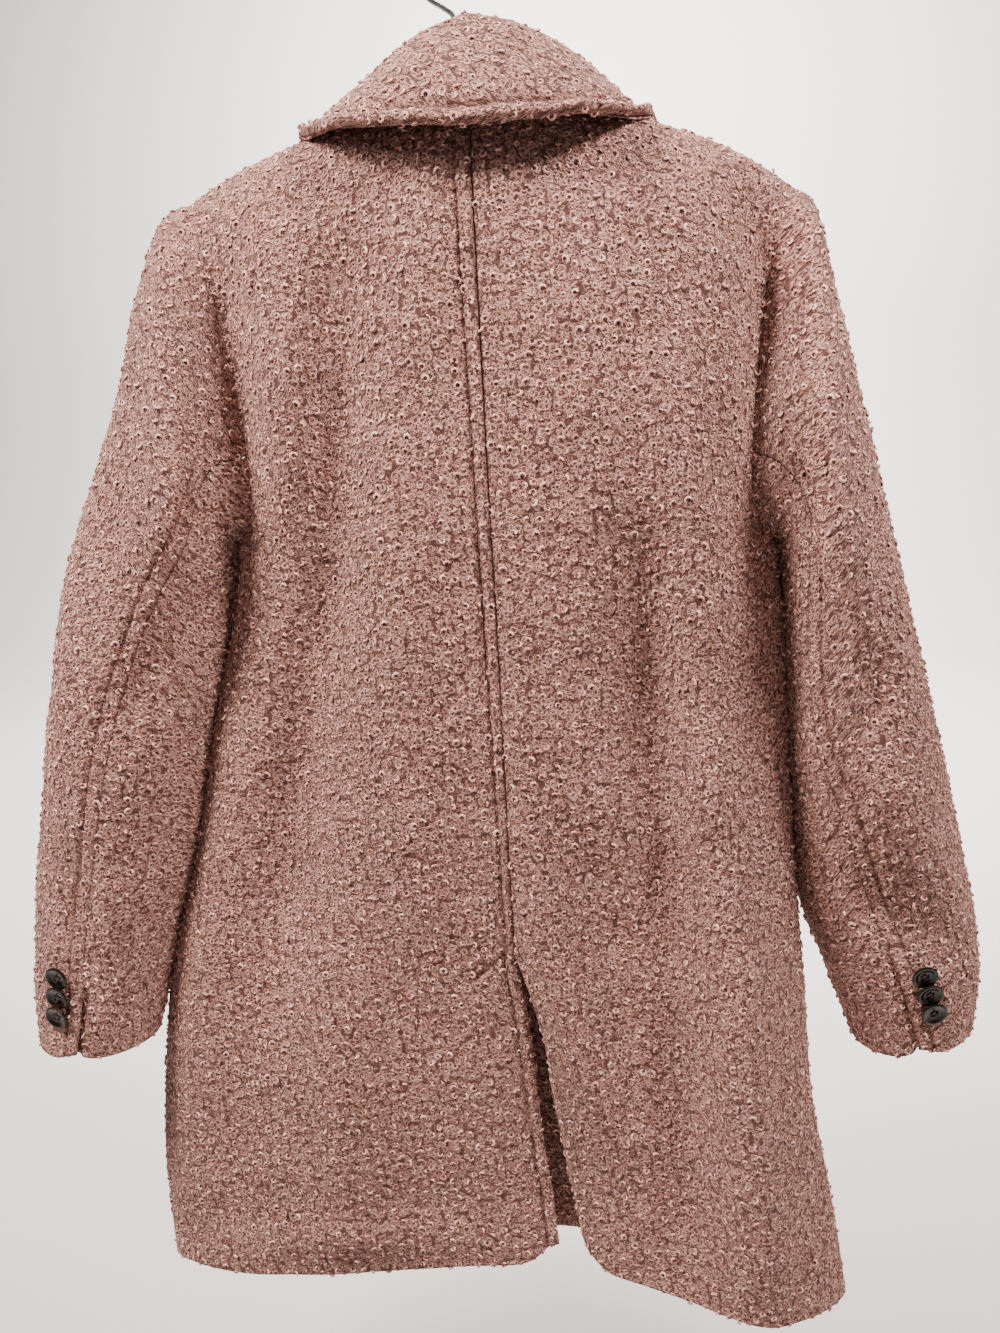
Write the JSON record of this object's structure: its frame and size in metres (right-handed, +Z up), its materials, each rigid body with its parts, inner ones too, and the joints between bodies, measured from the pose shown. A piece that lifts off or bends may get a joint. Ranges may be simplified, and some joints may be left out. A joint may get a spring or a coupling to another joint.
{
  "type": "pea coat on a hanger",
  "caption": "Double-breasted pea coat of looped wool with a rolled collar, centre-back vent and buttoned cuffs, hanging on a plain hanger.",
  "frame": {"origin": "top inside of the hanger's hook, where it bears on its rail", "axes": "+Z up, the coat's front faces -Y, the wearer's left side is at +X"},
  "size_m": [0.7067, 0.1458, 0.9567],
  "materials": {
    "looped_wool": "matte looped pile",
    "horn": "polished, marbled",
    "hanger_wood": "satin",
    "hook_chrome": "polished wire"
  },
  "bodies": {
    "root": {"back_left": "looped_wool", "back_right": "looped_wool", "front_left": "looped_wool", "front_right": "looped_wool", "lapel_left": "looped_wool", "lapel_right": "looped_wool", "collar": "looped_wool", "sleeve_left_top": "looped_wool", "sleeve_left_under": "looped_wool", "sleeve_right_top": "looped_wool", "sleeve_right_under": "looped_wool", "front_button_left_1": "horn", "front_button_left_2": "horn", "front_button_left_3": "horn", "front_button_right_1": "horn", "front_button_right_2": "horn", "front_button_right_3": "horn", "cuff_button_left_1": "horn", "cuff_button_left_2": "horn", "cuff_button_left_3": "horn", "cuff_button_right_1": "horn", "cuff_button_right_2": "horn", "cuff_button_right_3": "horn", "hanger_bar": "hanger_wood", "hanger_hook": "hook_chrome"}
  },
  "joints": []
}
